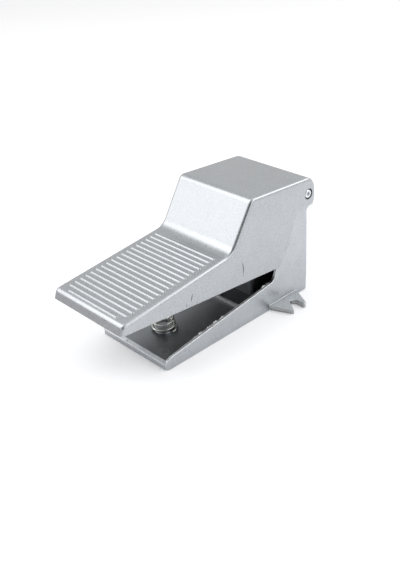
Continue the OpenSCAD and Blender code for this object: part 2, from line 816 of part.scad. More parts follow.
module valve_body() {
    front = valve_y - body_front;
    tab_hx = screw_hx + screw_r + 2;
    tab_h = 2 * (screw_r + 3.2);
    color([0.70, 0.71, 0.74]) placed() difference() {
        union() {
            translate([0, 0, floor_t]) linear_extrude(body_top - floor_t) outline(
                [[-body_hw, front], [body_hw, front], [body_hw, base_l + port_proud], [-body_hw, base_l + port_proud]],
                [2.5, 2.5, 1, 1]);
            for (z = [screw_low_z, screw_high_z])
                translate([-tab_hx, back_y - tab_t, z - tab_h / 2]) cube([2 * tab_hx, tab_t, tab_h]);
        }
        translate([0, valve_y, plug_top - fuse]) cylinder(r = bore_r, h = body_top);
        translate([0, valve_y, floor_t - fuse]) cylinder(r = plug_r + seat_gap, h = plug_top - floor_t + fuse);
        translate([0, valve_y, ring_z - seat_gap])
            cylinder(r = plug_r + ring_bite + 2 * seat_gap, h = ring_t + 2 * seat_gap);
        translate([0, valve_y, gland_low]) cylinder(r = gland_r + seat_gap, h = body_top - gland_low + fuse);
        for (i = [0 : 4]) port(i % 2 == 0 ? port_hx : -port_hx, port_z[i]);
        for (x = [-screw_hx, screw_hx], z = [screw_low_z, screw_high_z])
            heelwards(x, z, screw_r + seat_gap, back_y - tab_t - fuse, back_y + fuse);
    }
}

// Socket-head screws that draw the valve body against the back wall
module valve_screws() {
    head_y = base_l + lock_t;
    head_h = 2 * screw_r;
    color([0.55, 0.56, 0.58]) placed()
        for (x = [-screw_hx, screw_hx], z = [screw_low_z, screw_high_z]) difference() {
            union() {
                heelwards(x, z, screw_r, back_y - tab_t + 0.5, head_y + fuse);
                heelwards(x, z, screw_r * 1.7, head_y, head_y + head_h);
            }
            translate([x, head_y + head_h * 0.45, z]) rotate([-90, 0, 0])
                cylinder(r = screw_r * 0.92, h = head_h, $fn = 6);
        }
}

module lock_washers() {
    color([0.50, 0.51, 0.53]) placed()
        for (x = [-screw_hx, screw_hx], z = [screw_low_z, screw_high_z]) difference() {
            heelwards(x, z, screw_r * 1.8, base_l, base_l + lock_t);
            heelwards(x, z, screw_r + 0.15, base_l - fuse, base_l + lock_t + fuse);
        }
}

// Gland that guides the plunger: threaded sleeve, flange and hexagon
module gland_nut() {
    color([0.76, 0.62, 0.36]) placed() translate([0, valve_y, 0]) difference() {
        union() {
            translate([0, 0, gland_low]) cylinder(r = gland_r, h = body_top - gland_low + fuse);
            translate([0, 0, body_top]) cylinder(r = flange_r, h = flange_t);
            translate([0, 0, body_top]) cylinder(r = flange_r - hex_step, h = gland_top - body_top, $fn = 6);
        }
        translate([0, 0, gland_low - fuse]) cylinder(r = bore_r, h = gland_roof - gland_low + fuse);
        cylinder(r = plunger_r + run_gap, h = gland_top + fuse);
        translate([0, 0, wiper_z]) cylinder(r = plunger_r + wiper_reach + seat_gap, h = wiper_seat + fuse);
        translate([0, 0, body_top - fuse]) difference() {
            cylinder(r = gland_r + gland_cord_out + gland_cord_r + 3 * seat_gap, h = 2 * gland_cord_r + fuse);
            cylinder(r = gland_r - seat_gap, h = 2 * gland_cord_r + fuse);
        }
    }
}

module gland_oring() {
    color([0.12, 0.12, 0.13]) placed() translate([0, valve_y, body_top + gland_cord_r])
        cord_ring(gland_r + gland_cord_out, gland_cord_r);
}

module wiper_seal() {
    color([0.13, 0.13, 0.14]) placed() translate([0, valve_y, wiper_z]) difference() {
        cylinder(r = plunger_r + wiper_reach, h = wiper_h);
        translate([0, 0, -fuse]) cylinder(r = plunger_r + run_gap, h = wiper_h + 2 * fuse);
    }
}

// Plunger: shank, domed head and the tenon screwed into the spool
module plunger() {
    color([0.66, 0.67, 0.69]) placed() translate([0, valve_y, 0]) {
        translate([0, 0, spool_high]) cylinder(r = plunger_r, h = head_under - spool_high + fuse);
        translate([0, 0, spool_high - tenon_l]) cylinder(r = tenon_r, h = tenon_l + fuse);
        intersection() {
            translate([0, 0, head_under]) cylinder(r = plunger_head_r, h = plunger_head_t);
            translate([0, 0, plunger_top - plunger_dome_r]) sphere(r = plunger_dome_r, $fn = 96);
        }
    }
}

module spool() {
    groove_r = land_r + 0.35 - 2 * seal_cord_r - 0.05;
    groove_h = 2 * seal_cord_r + 0.2;
    color([0.72, 0.73, 0.75]) placed() translate([0, valve_y, 0]) difference() {
        union() {
            translate([0, 0, spool_low]) cylinder(r = rod_r, h = spool_high - spool_low);
            for (z = seal_z) difference() {
                translate([0, 0, z - land_h / 2]) cylinder(r = land_r, h = land_h);
                translate([0, 0, z - groove_h / 2]) difference() {
                    cylinder(r = land_r + fuse, h = groove_h);
                    cylinder(r = groove_r, h = groove_h);
                }
            }
        }
        translate([0, 0, spool_low - fuse]) cylinder(r = pocket_r, h = pocket_top - spool_low + fuse);
        translate([0, 0, spool_high - tenon_l - move_gap]) cylinder(r = tenon_r + seat_gap, h = tenon_l + move_gap + fuse);
    }
}

module spool_seals() {
    color([0.12, 0.12, 0.13]) placed() translate([0, valve_y, 0])
        for (z = seal_z) translate([0, 0, z]) cord_ring(bore_r - run_gap - seal_cord_r, seal_cord_r);
}

module spool_spring() {
    color([0.60, 0.60, 0.58]) placed() translate([0, valve_y, plug_top + 0.05])
        coil(spool_spring_r, spool_spring_r, 1, pocket_top - plug_top - 0.1, 1, spool_wire_r, spool_turns, 16, 6);
}

// Plug that closes the lower end of the spool bore
module end_plug() {
    groove_h = 2 * (plug_cord_r + 3 * seat_gap);
    color([0.70, 0.71, 0.74]) placed() translate([0, valve_y, 0]) difference() {
        translate([0, 0, plug_low]) cylinder(r = plug_r, h = plug_top - plug_low);
        translate([0, 0, plug_mid - groove_h / 2]) difference() {
            cylinder(r = plug_r + fuse, h = groove_h);
            cylinder(r = plug_r - plug_cord_in - plug_cord_r - seat_gap, h = groove_h);
        }
    }
}

module end_plug_oring() {
    color([0.12, 0.12, 0.13]) placed() translate([0, valve_y, plug_mid]) cord_ring(plug_r - plug_cord_in, plug_cord_r);
}

module retaining_ring() {
    color([0.45, 0.46, 0.48]) placed() translate([0, valve_y, ring_z]) difference() {
        cylinder(r = plug_r + ring_bite, h = ring_t);
        translate([0, 0, -fuse]) cylinder(r = plug_r - 1, h = ring_t + 2 * fuse);
        translate([-ring_gap / 2, 0, -fuse]) cube([ring_gap, 2 * plug_r, ring_t + 2 * fuse]);
    }
}

base_frame();
pedal();
pivot_screw_right();
pivot_screw_left();
pivot_bush_right();
pivot_bush_left();
thrust_washer_right();
thrust_washer_left();
return_spring();
valve_body();
valve_screws();
lock_washers();
gland_nut();
gland_oring();
wiper_seal();
plunger();
spool();
spool_seals();
spool_spring();
end_plug();
end_plug_oring();
retaining_ring();
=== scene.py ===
import math

import bpy
import numpy as np
from mathutils import Matrix, Vector


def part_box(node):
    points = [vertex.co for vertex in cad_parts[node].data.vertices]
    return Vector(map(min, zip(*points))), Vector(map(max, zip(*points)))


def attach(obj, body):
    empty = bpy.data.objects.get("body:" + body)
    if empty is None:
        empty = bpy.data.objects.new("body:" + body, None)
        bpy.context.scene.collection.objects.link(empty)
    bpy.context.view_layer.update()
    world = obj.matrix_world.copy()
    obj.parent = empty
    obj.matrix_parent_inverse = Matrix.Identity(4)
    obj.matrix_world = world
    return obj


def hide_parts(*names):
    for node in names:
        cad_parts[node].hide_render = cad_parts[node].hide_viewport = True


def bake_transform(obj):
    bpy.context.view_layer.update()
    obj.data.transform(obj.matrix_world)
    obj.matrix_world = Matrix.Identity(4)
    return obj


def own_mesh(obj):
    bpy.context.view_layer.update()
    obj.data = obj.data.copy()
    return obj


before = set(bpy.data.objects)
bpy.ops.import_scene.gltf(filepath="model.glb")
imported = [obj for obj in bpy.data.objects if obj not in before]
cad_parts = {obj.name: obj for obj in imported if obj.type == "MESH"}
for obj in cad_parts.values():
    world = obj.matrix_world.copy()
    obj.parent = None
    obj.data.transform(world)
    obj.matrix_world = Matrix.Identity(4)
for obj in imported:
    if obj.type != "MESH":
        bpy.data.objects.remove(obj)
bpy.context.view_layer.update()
mm = 0.001
micron = 1e-6
fullTurn = 2 * math.pi


# Tools

# sRGB hex text to the linear colour that a shader takes
def tint(hexText):
    parts = [int(hexText[i:i + 2], 16) / 255 for i in (1, 3, 5)]
    return (*[c / 12.92 if c <= 0.04045 else ((c + 0.055) / 1.055) ** 2.4 for c in parts], 1.0)


# One shader node: settings are its properties, values its sockets, links the sockets that feed it
def put(tree, kind, values=None, links=None, **settings):
    node = tree.nodes.new("ShaderNode" + kind)
    for key, value in settings.items():
        setattr(node, key, value)
    for key, value in (values or {}).items():
        node.inputs[key].default_value = value
    for key, source in (links or {}).items():
        tree.links.new(source, node.inputs[key])
    return node


# Sockets of a Mix node between two colours, which share their names with those for numbers
mixBy = 0
mixFrom = 6
mixTo = 7
mixed = 2


# An empty material, its node tree and its object coordinates
def startMaterial(name):
    made = bpy.data.materials.new(name)
    made.use_nodes = True
    made.node_tree.nodes.clear()
    return made, made.node_tree, put(made.node_tree, "TexCoord").outputs["Object"]


# Noise scale for a pattern whose features are size millimetres across
def perSize(size):
    return 1 / (size * mm)


# A mesh object at the origin from an array of points in metres and lists of corners
def meshPiece(name, points, faces, material, smooth=True):
    mesh = bpy.data.meshes.new(name)
    mesh.from_pydata(points.tolist(), [], faces)
    mesh.polygons.foreach_set("use_smooth", np.full(len(mesh.polygons), smooth))
    mesh.materials.append(material)
    mesh.update()
    piece = bpy.data.objects.new(name, mesh)
    bpy.context.scene.collection.objects.link(piece)
    return piece


# Marks the edges of a piece that turn by more than an angle as sharp
def crease(piece, degrees):
    piece.data.set_sharp_from_angle(angle=math.radians(degrees))


# Points from three grids of coordinates in millimetres
def joined(x, y, z):
    return np.stack(np.broadcast_arrays(x, y, z), -1).reshape(-1, 3) * mm


# Quads of a grid whose columns close into a ring, and its rows too where closed is set
def ringFaces(rows, columns, closed=False):
    i, j = np.meshgrid(np.arange(rows if closed else rows - 1), np.arange(columns), indexing="ij")
    k = (j + 1) % columns
    n = (i + 1) % rows
    quads = np.stack([i * columns + j, i * columns + k, n * columns + k, n * columns + j], -1)
    return quads.reshape(-1, 4).tolist()


# The same with a lid on its first and last row
def liddedFaces(rows, columns):
    lids = [list(range(columns - 1, -1, -1)), list(range((rows - 1) * columns, rows * columns))]
    return ringFaces(rows, columns) + lids


# Faces turned to look the other way
def flipped(faces):
    return [face[::-1] for face in faces]


# Faces of a mesh that follows count other points
def shifted(faces, count):
    return [[corner + count for corner in face] for face in faces]


# Several copies of one set of faces, each count points further on
def repeated(faces, count, copies):
    return [face for n in range(copies) for face in shifted(faces, count * n)]


# Angles once round, without the last one that would fall on the first
def anglesRound(count):
    return np.linspace(0, fullTurn, count, endpoint=False)


# A turned surface about an axis: each row of the profile is [way along, radius, flats, knurl]. Flats
# blends the round section to a hexagon whose flats lie at the radius, 1 / cos((angle + 30) % 60 - 30),
# and knurl is the depth of a wavy edge of teeth. Gives the way along and the two offsets across.
def turned(profile, columns, teeth=0):
    way, radius, flats, knurl = (np.array(profile, float)[:, k, None] for k in range(4))
    angle = anglesRound(columns)[None, :]
    side = math.pi / 3
    hexagon = 1 / np.cos(np.mod(angle + side / 2, side) - side / 2)
    reach = radius * (1 + flats * (hexagon - 1)) - knurl * (0.5 - 0.5 * np.cos(teeth * angle))
    return way + 0 * angle, reach * np.cos(angle), reach * np.sin(angle)


# A round cord bent to a ring: its surface lies (radius + cord cos b) from the axis and cord sin b along
# it. Gives the two offsets across and the way along.
def cordRing(spec):
    a = anglesRound(spec["around"])[:, None]
    b = anglesRound(spec["sides"])[None, :]
    reach = spec["radius"] + spec["cord"] * np.cos(b)
    return reach * np.cos(a), reach * np.sin(a), spec["cord"] * np.sin(b)


# Camera

# The eye in millimetres, its angles in degrees, the focal length in parts of the frame's height
cameraSpec = {"eye": (367.52, -401.52, 319.84), "azimuth": 46.80, "elevation": 30.246, "roll": -2.552,
              "focal": 766.27, "frameHeight": 570, "sensor": 36.0, "near": 0.01, "far": 20.0}


def makeCamera(spec):
    a, e, r = (math.radians(spec[k]) for k in ("azimuth", "elevation", "roll"))
    back = Vector((math.sin(a) * math.cos(e), -math.cos(a) * math.cos(e), math.sin(e)))
    level = Vector((math.cos(a), math.sin(a), 0))
    upright = back.cross(level)
    right = level * math.cos(r) + upright * math.sin(r)
    up = upright * math.cos(r) - level * math.sin(r)
    data = bpy.data.cameras.new("camera")
    data.sensor_fit = "VERTICAL"
    data.sensor_height = spec["sensor"]
    data.lens = spec["focal"] * spec["sensor"] / spec["frameHeight"]
    data.clip_start = spec["near"]
    data.clip_end = spec["far"]
    camera = bpy.data.objects.new("camera", data)
    turn = Matrix((right, up, back)).transposed().to_4x4()
    camera.matrix_world = Matrix.Translation(Vector(spec["eye"]) * mm) @ turn
    bpy.context.scene.collection.objects.link(camera)
    bpy.context.scene.camera = camera


makeCamera(cameraSpec)
print("camera: placed")


# Floor and light

# Paper that glows a little near the object, painted light that lifts the object's shadow there, and greys
# towards farWay, out of view, a painted shade that only the metal mirrors; a white sky that is dimmer
# round the camera, along dimWay, and at the horizon. Metres.
stageSpec = {
    "floorSize": 6.0, "floorLevel": -0.0002, "floorRough": 0.9, "floorGloss": 0.1,
    "floor": "#f4f4f5", "floorFarShade": "#c4c4c6",
    "farWay": (-0.63, -0.78, 0.0), "farFrom": 0.35, "farTo": 0.80,
    "glowNear": 0.21, "glowFar": 0.10, "glowFrom": 0.14, "glowTo": 0.32,
    "world": "#ffffff", "worldStrength": 0.873,
    "dimWay": (0.63, -0.59, 0.50), "dimFrom": 0.78, "dimTo": 0.97, "dimLevel": 0.2,
    "horizonLevel": 0.75, "horizonLow": -0.1, "horizonTop": 0.35,
}
lightSpec = {
    "frontLow": {"place": (-0.82, -0.95, 0.47), "size": (0.9, 0.40), "power": 1.6, "colour": "#ffffff"},
    "frontLeftHigh": {"place": (-0.60, -0.60, 1.00), "size": (0.9, 0.9), "power": 4.5,
                      "colour": "#ffffff"},
    "edge": {"place": (0.66, 0.74, 0.86), "size": (0.9, 0.9), "power": 4.4, "colour": "#ffffff"},
    "right": {"place": (1.20, 0.10, 0.45), "size": (0.9, 0.6), "power": 1.8, "colour": "#f8fafd"},
    "overhead": {"place": (0.0, -0.04, 1.40), "size": (1.4, 1.4), "power": 1.5, "colour": "#ffffff"},
    "behind": {"place": (0.15, 1.30, 0.60), "size": (1.2, 0.6), "power": 1.6, "colour": "#ffffff"},
}
lightAim = Vector((0.0, -0.04, 0.05))


def makeFloor(spec):
    paint, tree, spot = startMaterial("matt_paper_floor")
    away = put(tree, "VectorMath", links={0: spot}, operation="LENGTH")
    # Glow: painted light that lifts the object's shadow near it
    glow = put(tree, "MapRange", {"From Min": spec["glowFrom"], "From Max": spec["glowTo"],
                                  "To Min": spec["glowNear"], "To Max": spec["glowFar"]},
               {"Value": away.outputs["Value"]}, interpolation_type="SMOOTHSTEP")
    ahead = put(tree, "VectorMath", {1: spec["farWay"]}, {0: spot}, operation="DOT_PRODUCT")
    far = put(tree, "MapRange", {"From Min": spec["farFrom"], "From Max": spec["farTo"]},
              {"Value": ahead.outputs["Value"]}, interpolation_type="SMOOTHSTEP")
    paper = put(tree, "Mix", {mixFrom: tint(spec["floor"]), mixTo: tint(spec["floorFarShade"])},
                {mixBy: far.outputs["Result"]}, data_type="RGBA")
    shader = put(tree, "BsdfPrincipled",
                 {"Roughness": spec["floorRough"], "Specular IOR Level": spec["floorGloss"]},
                 {"Base Color": paper.outputs[mixed], "Emission Color": paper.outputs[mixed],
                  "Emission Strength": glow.outputs["Result"]})
    put(tree, "OutputMaterial", links={"Surface": shader.outputs["BSDF"]})
    half = spec["floorSize"] / 2
    level = spec["floorLevel"]
    corners = np.array([[-half, -half, level], [half, -half, level],
                        [half, half, level], [-half, half, level]])
    meshPiece("floor", corners, [[0, 1, 2, 3]], paint, False)


def makeWorld(spec):
    world = bpy.data.worlds.new("studio")
    world.use_nodes = True
    tree = world.node_tree
    tree.nodes.clear()
    way = put(tree, "TexCoord").outputs["Generated"]
    toward = put(tree, "VectorMath", {1: spec["dimWay"]}, {0: way}, operation="DOT_PRODUCT")
    level = put(tree, "MapRange", {"From Min": spec["dimFrom"], "From Max": spec["dimTo"],
                                   "To Min": spec["worldStrength"],
                                   "To Max": spec["worldStrength"] * spec["dimLevel"]},
                {"Value": toward.outputs["Value"]}, interpolation_type="SMOOTHSTEP")
    height = put(tree, "SeparateXYZ", links={"Vector": way})
    horizon = put(tree, "MapRange", {"From Min": spec["horizonLow"], "From Max": spec["horizonTop"],
                                     "To Min": spec["horizonLevel"], "To Max": 1.0},
                  {"Value": height.outputs["Z"]}, interpolation_type="SMOOTHSTEP")
    both = put(tree, "Math", links={0: level.outputs["Result"], 1: horizon.outputs["Result"]},
               operation="MULTIPLY")
    sky = put(tree, "Background", {"Color": tint(spec["world"])}, {"Strength": both.outputs["Value"]})
    put(tree, "OutputWorld", links={"Surface": sky.outputs["Background"]})
    bpy.context.scene.world = world
    bpy.context.scene.view_settings.view_transform = "Standard"


def makeLight(name, spec):
    data = bpy.data.lights.new(name, "AREA")
    data.shape = "RECTANGLE"
    data.size, data.size_y = spec["size"]
    data.energy = spec["power"]
    data.color = tint(spec["colour"])[:3]
    lamp = bpy.data.objects.new(name, data)
    lamp.location = spec["place"]
    lamp.rotation_euler = (lightAim - lamp.location).to_track_quat("-Z", "Y").to_euler()
    bpy.context.scene.collection.objects.link(lamp)


makeFloor(stageSpec)
makeWorld(stageSpec)
for lightName, oneLight in lightSpec.items():
    makeLight(lightName, oneLight)
print("stage: floor and %d lights" % len(lightSpec))


# Materials

# The part of a noise's range that nearly all of it lies in, spread over the whole way between two tones
noiseSpan = (0.35, 0.65)


# Tone and roughness that follow one pattern from its low to its high end
def mottle(tree, pattern, tones, rough):
    colour = put(tree, "ValToRGB", links={"Fac": pattern})
    for element, position, tone in zip(colour.color_ramp.elements, noiseSpan, tones):
        element.position = position
        element.color = tint(tone)
    satin = put(tree, "MapRange", {"From Min": noiseSpan[0], "From Max": noiseSpan[1],
                                   "To Min": rough[0], "To Max": rough[1]}, {"Value": pattern})
    return colour.outputs["Color"], satin.outputs["Result"]


# Die-cast aluminium, blasted and clear-finished: satin silver, faintly mottled by the blasting. Edges are
# brighter, partly rubbed wear and partly a painted highlight, and corners and places near other parts are
# darker, a painted shade. Inside, the raw skin is duller and painted a darker grey as shade, darkest on
# the floor behind the cross rib round the valve. The ears and the toe's front are painted darker as shade,
# and the lip, the cross rib and the top of the rails are scuffed rougher by shoes and painted paler as
# light.
# Grain is drawn coarser than blasting grit so that it shows. Grain, cloud and grainDepth are sizes of the
# mottle, edge the width of a bright edge and corner the reach of the painted corner shade, all in
# millimetres.
castSpec = {
    "cast_aluminium_blasted": {
        "silver": "#b4b7ba", "shade": "#a9acaf", "rubbedHighlight": "#f2f4f5", "dust": "#55575a",
        "grain": 1.6, "cloud": 16.0, "rough": (0.25, 0.32), "grainDepth": 0.004,
        "edge": 0.5, "corner": 1.8, "cornerShadeDepth": 0.75, "open": 0.90},
    "cast_aluminium_blasted_base": {
        "silver": "#babec2", "shade": "#aeb2b6", "rubbedHighlight": "#f8fafc", "dust": "#5c5e61",
        "grain": 1.6, "cloud": 16.0, "rough": (0.25, 0.36), "grainDepth": 0.006,
        "edge": 1.0, "corner": 7.0, "cornerShadeDepth": 0.25, "open": 1.0},
    "cast_aluminium_scuffed_painted_light": {
        "silver": "#eceef0", "shade": "#d0d2d4", "rubbedHighlight": "#ffffff", "dust": "#77797c",
        "grain": 0.9, "cloud": 6.0, "rough": (0.55, 0.72), "grainDepth": 0.02,
        "edge": 0.5, "corner": 1.0, "cornerShadeDepth": 0.5, "open": 0.85},
    "cast_aluminium_dark_painted_shade": {
        "silver": "#a5a6a9", "shade": "#929396", "rubbedHighlight": "#e6e8ea", "dust": "#4c4d4e",
        "grain": 1.2, "cloud": 7.0, "rough": (0.26, 0.38), "grainDepth": 0.008,
        "edge": 0.4, "corner": 2.0, "cornerShadeDepth": 0.5, "open": 0.9},
    "cast_aluminium_ears_painted_shade": {
        "silver": "#b0b2b3", "shade": "#9b9d9e", "rubbedHighlight": "#f2f4f4", "dust": "#4c4d4e",
        "grain": 1.4, "cloud": 8.0, "rough": (0.26, 0.38), "grainDepth": 0.01,
        "edge": 0.7, "corner": 3.0, "cornerShadeDepth": 0.5, "open": 0.95},
    "cast_aluminium_raw_skin_painted_shade": {
        "silver": "#9ea1a5", "shade": "#8b8e92", "rubbedHighlight": "#c4c6c9", "dust": "#404143",
        "grain": 1.2, "cloud": 14.0, "rough": (0.34, 0.46), "grainDepth": 0.02,
        "edge": 0.4, "corner": 3.0, "cornerShadeDepth": 0.6, "open": 0.85},
    "cast_aluminium_deepest_painted_shade": {
        "silver": "#66686b", "shade": "#545659", "rubbedHighlight": "#8a8c8f", "dust": "#2e2f30",
        "grain": 1.2, "cloud": 14.0, "rough": (0.34, 0.46), "grainDepth": 0.02,
        "edge": 0.4, "corner": 3.0, "cornerShadeDepth": 0.6, "open": 0.85},
}
# What all of them share: an edge is rubbed and painted with a highlight where its softened normal leaves
# the true one, from a cosine of unrubbed down to rubbed, and a corner is painted with shade where it sees
# less than open of the room, most at closed
castShared = {
    "grainDetail": 3.0, "grainRough": 0.6, "cloudDetail": 4.0, "cloudRough": 0.55, "cloudShare": 0.35,
    "unrubbedTurn": 0.98, "rubbedTurn": 0.80, "edgeRays": 12, "closed": 0.35, "cornerRays": 16,
    "bump": 0.35,
}


def castAluminium(name, metal):
    spec = {**castShared, **metal}
    made, tree, spot = startMaterial(name)
    grain = put(tree, "TexNoise", {"Scale": perSize(spec["grain"]), "Detail": spec["grainDetail"],
                                   "Roughness": spec["grainRough"]}, {"Vector": spot})
    cloud = put(tree, "TexNoise", {"Scale": perSize(spec["cloud"]), "Detail": spec["cloudDetail"],
                                   "Roughness": spec["cloudRough"]}, {"Vector": spot})
    both = put(tree, "Mix", {"Factor": spec["cloudShare"]},
               {"A": grain.outputs["Fac"], "B": cloud.outputs["Fac"]})
    silver, satin = mottle(tree, both.outputs["Result"], (spec["shade"], spec["silver"]), spec["rough"])
    worn = put(tree, "Bevel", {"Radius": spec["edge"] * mm}, samples=spec["edgeRays"])
    facing = put(tree, "NewGeometry")
    turn = put(tree, "VectorMath", links={0: worn.outputs["Normal"], 1: facing.outputs["Normal"]},
               operation="DOT_PRODUCT")
    # Brighter edges: partly rubbed wear, partly a painted highlight
    rubHighlight = put(tree, "MapRange", {"From Min": spec["unrubbedTurn"], "From Max": spec["rubbedTurn"],
                                 "To Min": 0.0, "To Max": 1.0}, {"Value": turn.outputs["Value"]})
    # Darker where little of the room is seen: painted shade in corners and near other parts
    free = put(tree, "AmbientOcclusion", {"Distance": spec["corner"] * mm}, samples=spec["cornerRays"])
    dust = put(tree, "MapRange", {"From Min": spec["closed"], "From Max": spec["open"],
                                  "To Min": spec["cornerShadeDepth"], "To Max": 0.0}, {"Value": free.outputs["AO"]})
    bright = put(tree, "Mix", {mixTo: tint(spec["rubbedHighlight"])},
                 {mixBy: rubHighlight.outputs["Result"], mixFrom: silver}, data_type="RGBA")
    tone = put(tree, "Mix", {mixTo: tint(spec["dust"])},
               {mixBy: dust.outputs["Result"], mixFrom: bright.outputs[mixed]}, data_type="RGBA")
    bump = put(tree, "Bump", {"Strength": spec["bump"], "Distance": spec["grainDepth"] * mm},
               {"Height": grain.outputs["Fac"], "Normal": worn.outputs["Normal"]})
    shader = put(tree, "BsdfPrincipled", {"Metallic": 1.0},
                 {"Base Color": tone.outputs[mixed], "Roughness": satin,
                  "Normal": bump.outputs["Normal"]})
    put(tree, "OutputMaterial", links={"Surface": shader.outputs["BSDF"]})
    return made


# Plain worked metals and polymers. Zinc plate is bright and even, drawn wire bright and a little cloudy,
# ground steel the smoothest, milled aluminium dull grey and darker where it is scored. Sintered bronze is
# brown and fine-grained, turned brass yellow and bright, moulded acetal milky, and nitrile rubber nearly
# black and matt. Size and depth are those of the surface's drift in millimetres.
plainSpec = {
    "zinc_steel_turned": {
        "light": "#e4e7ea", "dark": "#cdd0d4", "size": 1.2, "depth": 0.01,
        "rough": (0.18, 0.30), "metal": 1.0},
    "spring_steel_drawn": {
        "light": "#e2e3dd", "dark": "#b2b4ad", "size": 1.0, "depth": 0.012,
        "rough": (0.18, 0.30), "metal": 1.0},
    "ground_steel": {
        "light": "#d2d4d6", "dark": "#b9bcc0", "size": 0.8, "depth": 0.004,
        "rough": (0.14, 0.26), "metal": 1.0},
    "aluminium_milled": {
        "light": "#9c9fa3", "dark": "#8a8d91", "size": 2.0, "depth": 0.012,
        "rough": (0.42, 0.56), "metal": 1.0},
    "aluminium_scored": {
        "light": "#6a6c70", "dark": "#505256", "size": 0.8, "depth": 0.004,
        "rough": (0.5, 0.7), "metal": 1.0},
    "bronze_sintered": {
        "light": "#b98a4e", "dark": "#8f6636", "size": 0.6, "depth": 0.012,
        "rough": (0.36, 0.55), "metal": 1.0},
    "brass_turned": {
        "light": "#d0ac66", "dark": "#b08d4b", "size": 1.4, "depth": 0.008,
        "rough": (0.22, 0.36), "metal": 1.0},
    "acetal_moulded": {
        "light": "#e4e4dd", "dark": "#d4d4cc", "size": 2.0, "depth": 0.006,
        "rough": (0.38, 0.48), "metal": 0.0},
    "nitrile_rubber_moulded": {
        "light": "#232324", "dark": "#161617", "size": 0.9, "depth": 0.01,
        "rough": (0.55, 0.72), "metal": 0.0},
}
plainShared = {"detail": 5.0, "driftRough": 0.6, "bump": 0.3}


# A tone that drifts a little, roughness that follows it, and a fine bump
def plainMaterial(name, surface):
    spec = {**plainShared, **surface}
    made, tree, spot = startMaterial(name)
    drift = put(tree, "TexNoise", {"Scale": perSize(spec["size"]), "Detail": spec["detail"],
                                   "Roughness": spec["driftRough"]}, {"Vector": spot})
    tone, satin = mottle(tree, drift.outputs["Fac"], (spec["dark"], spec["light"]), spec["rough"])
    bump = put(tree, "Bump", {"Strength": spec["bump"], "Distance": spec["depth"] * mm},
               {"Height": drift.outputs["Fac"]})
    shader = put(tree, "BsdfPrincipled", {"Metallic": spec["metal"]},
                 {"Base Color": tone, "Roughness": satin, "Normal": bump.outputs["Normal"]})
    put(tree, "OutputMaterial", links={"Surface": shader.outputs["BSDF"]})
    return made


finishes = {name: castAluminium(name, metal) for name, metal in castSpec.items()}
finishes.update({name: plainMaterial(name, surface) for name, surface in plainSpec.items()})
slotFinish = {
    "cast_aluminium": "cast_aluminium_blasted_base",
    "valve_aluminium": "aluminium_milled",
    "zinc_steel": "zinc_steel_turned",
    "ground_steel": "ground_steel",
    "spring_steel": "spring_steel_drawn",
    "bronze": "bronze_sintered",
    "brass": "brass_turned",
    "bearing_polymer": "acetal_moulded",
    "seal_rubber": "nitrile_rubber_moulded",
}
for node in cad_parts.values():
    slotName = node.data.materials[0].name.split(".")[0]
    node.data.materials[0] = finishes[slotFinish[slotName]]
print("materials: %d" % len(finishes))


# Castings

# Their metals by zone, where each zone lies in millimetres (X from the middle), and how much of a face's
# normal has to point up, inwards or to the front for it to belong there
baseSpec = {
    "node": "base_frame", "body": "base",
    "metals": ("cast_aluminium_blasted_base", "cast_aluminium_raw_skin_painted_shade", "cast_aluminium_scuffed_painted_light",
               "cast_aluminium_ears_painted_shade", "cast_aluminium_deepest_painted_shade"),
    "inwards": 0.5, "wallX": 26.0, "backY": 20.0, "floorUp": 0.98, "floorZ": (5.0, 6.0), "deepShadeY": -35.9,
    "lipUp": (0.85, 0.97), "lipY": -121.0, "ribX": 33.6, "ribY": (-38.3, -35.7), "ribZ": (5.52, 7.48),
    "railUp": 0.97, "railX": 32.5, "railZ": (8.5, 23.5), "earX": 36.0, "earZ": 4.2,
}
treadleSpec = {
    "node": "pedal", "body": "treadle",
    "metals": ("cast_aluminium_blasted", "cast_aluminium_raw_skin_painted_shade", "cast_aluminium_dark_painted_shade"),
    "inwards": 0.5, "skirtX": 34.0, "heelY": 20.0, "down": 0.2, "toeFront": 0.9, "toeY": -157.0,
}
smallest = 1e-12  # keeps the length of a thin triangle's normal off zero


# Which values lie between two limits
def within(values, limits):
    return (values > limits[0]) & (values < limits[1])


# Faces of the base: 1 inside the tray, on its floor, the inner side of its walls and the front of its back
# wall, painted darker as shade; 2 on the bevel of the lip, the cross rib and the top of the rails, which
# shoes scuff, painted paler as light; 3 on the fixing ears, painted darker as shade; 4 on the floor behind
# the cross rib, painted darkest as shade
def baseZones(spec, centre, normal):
    x, y, z = np.abs(centre[:, 0]), centre[:, 1], centre[:, 2]
    inwards = -np.sign(centre[:, 0]) * normal[:, 0]
    up = normal[:, 2]
    floor = (up > spec["floorUp"]) & within(z, spec["floorZ"])
    # The floor behind the cross rib, painted darkest as the shade round the valve
    deepShade = floor & (y > spec["deepShadeY"])
    walls = (inwards > spec["inwards"]) & (x > spec["wallX"])
    backWall = (-normal[:, 1] > spec["inwards"]) & (y > spec["backY"])
    # Lip, cross rib and rail tops: scuffed rougher, and painted paler as light
    lip = within(up, spec["lipUp"]) & (y < spec["lipY"])
    rib = (x < spec["ribX"]) & within(y, spec["ribY"]) & within(z, spec["ribZ"])
    rails = (up > spec["railUp"]) & (x > spec["railX"]) & within(z, spec["railZ"])
    # The fixing ears, painted darker as shade
    ears = (x > spec["earX"]) & (z < spec["earZ"])
    return np.select([ears, deepShade, lip | rib | rails, floor | walls | backWall], [3, 4, 2, 1], 0)


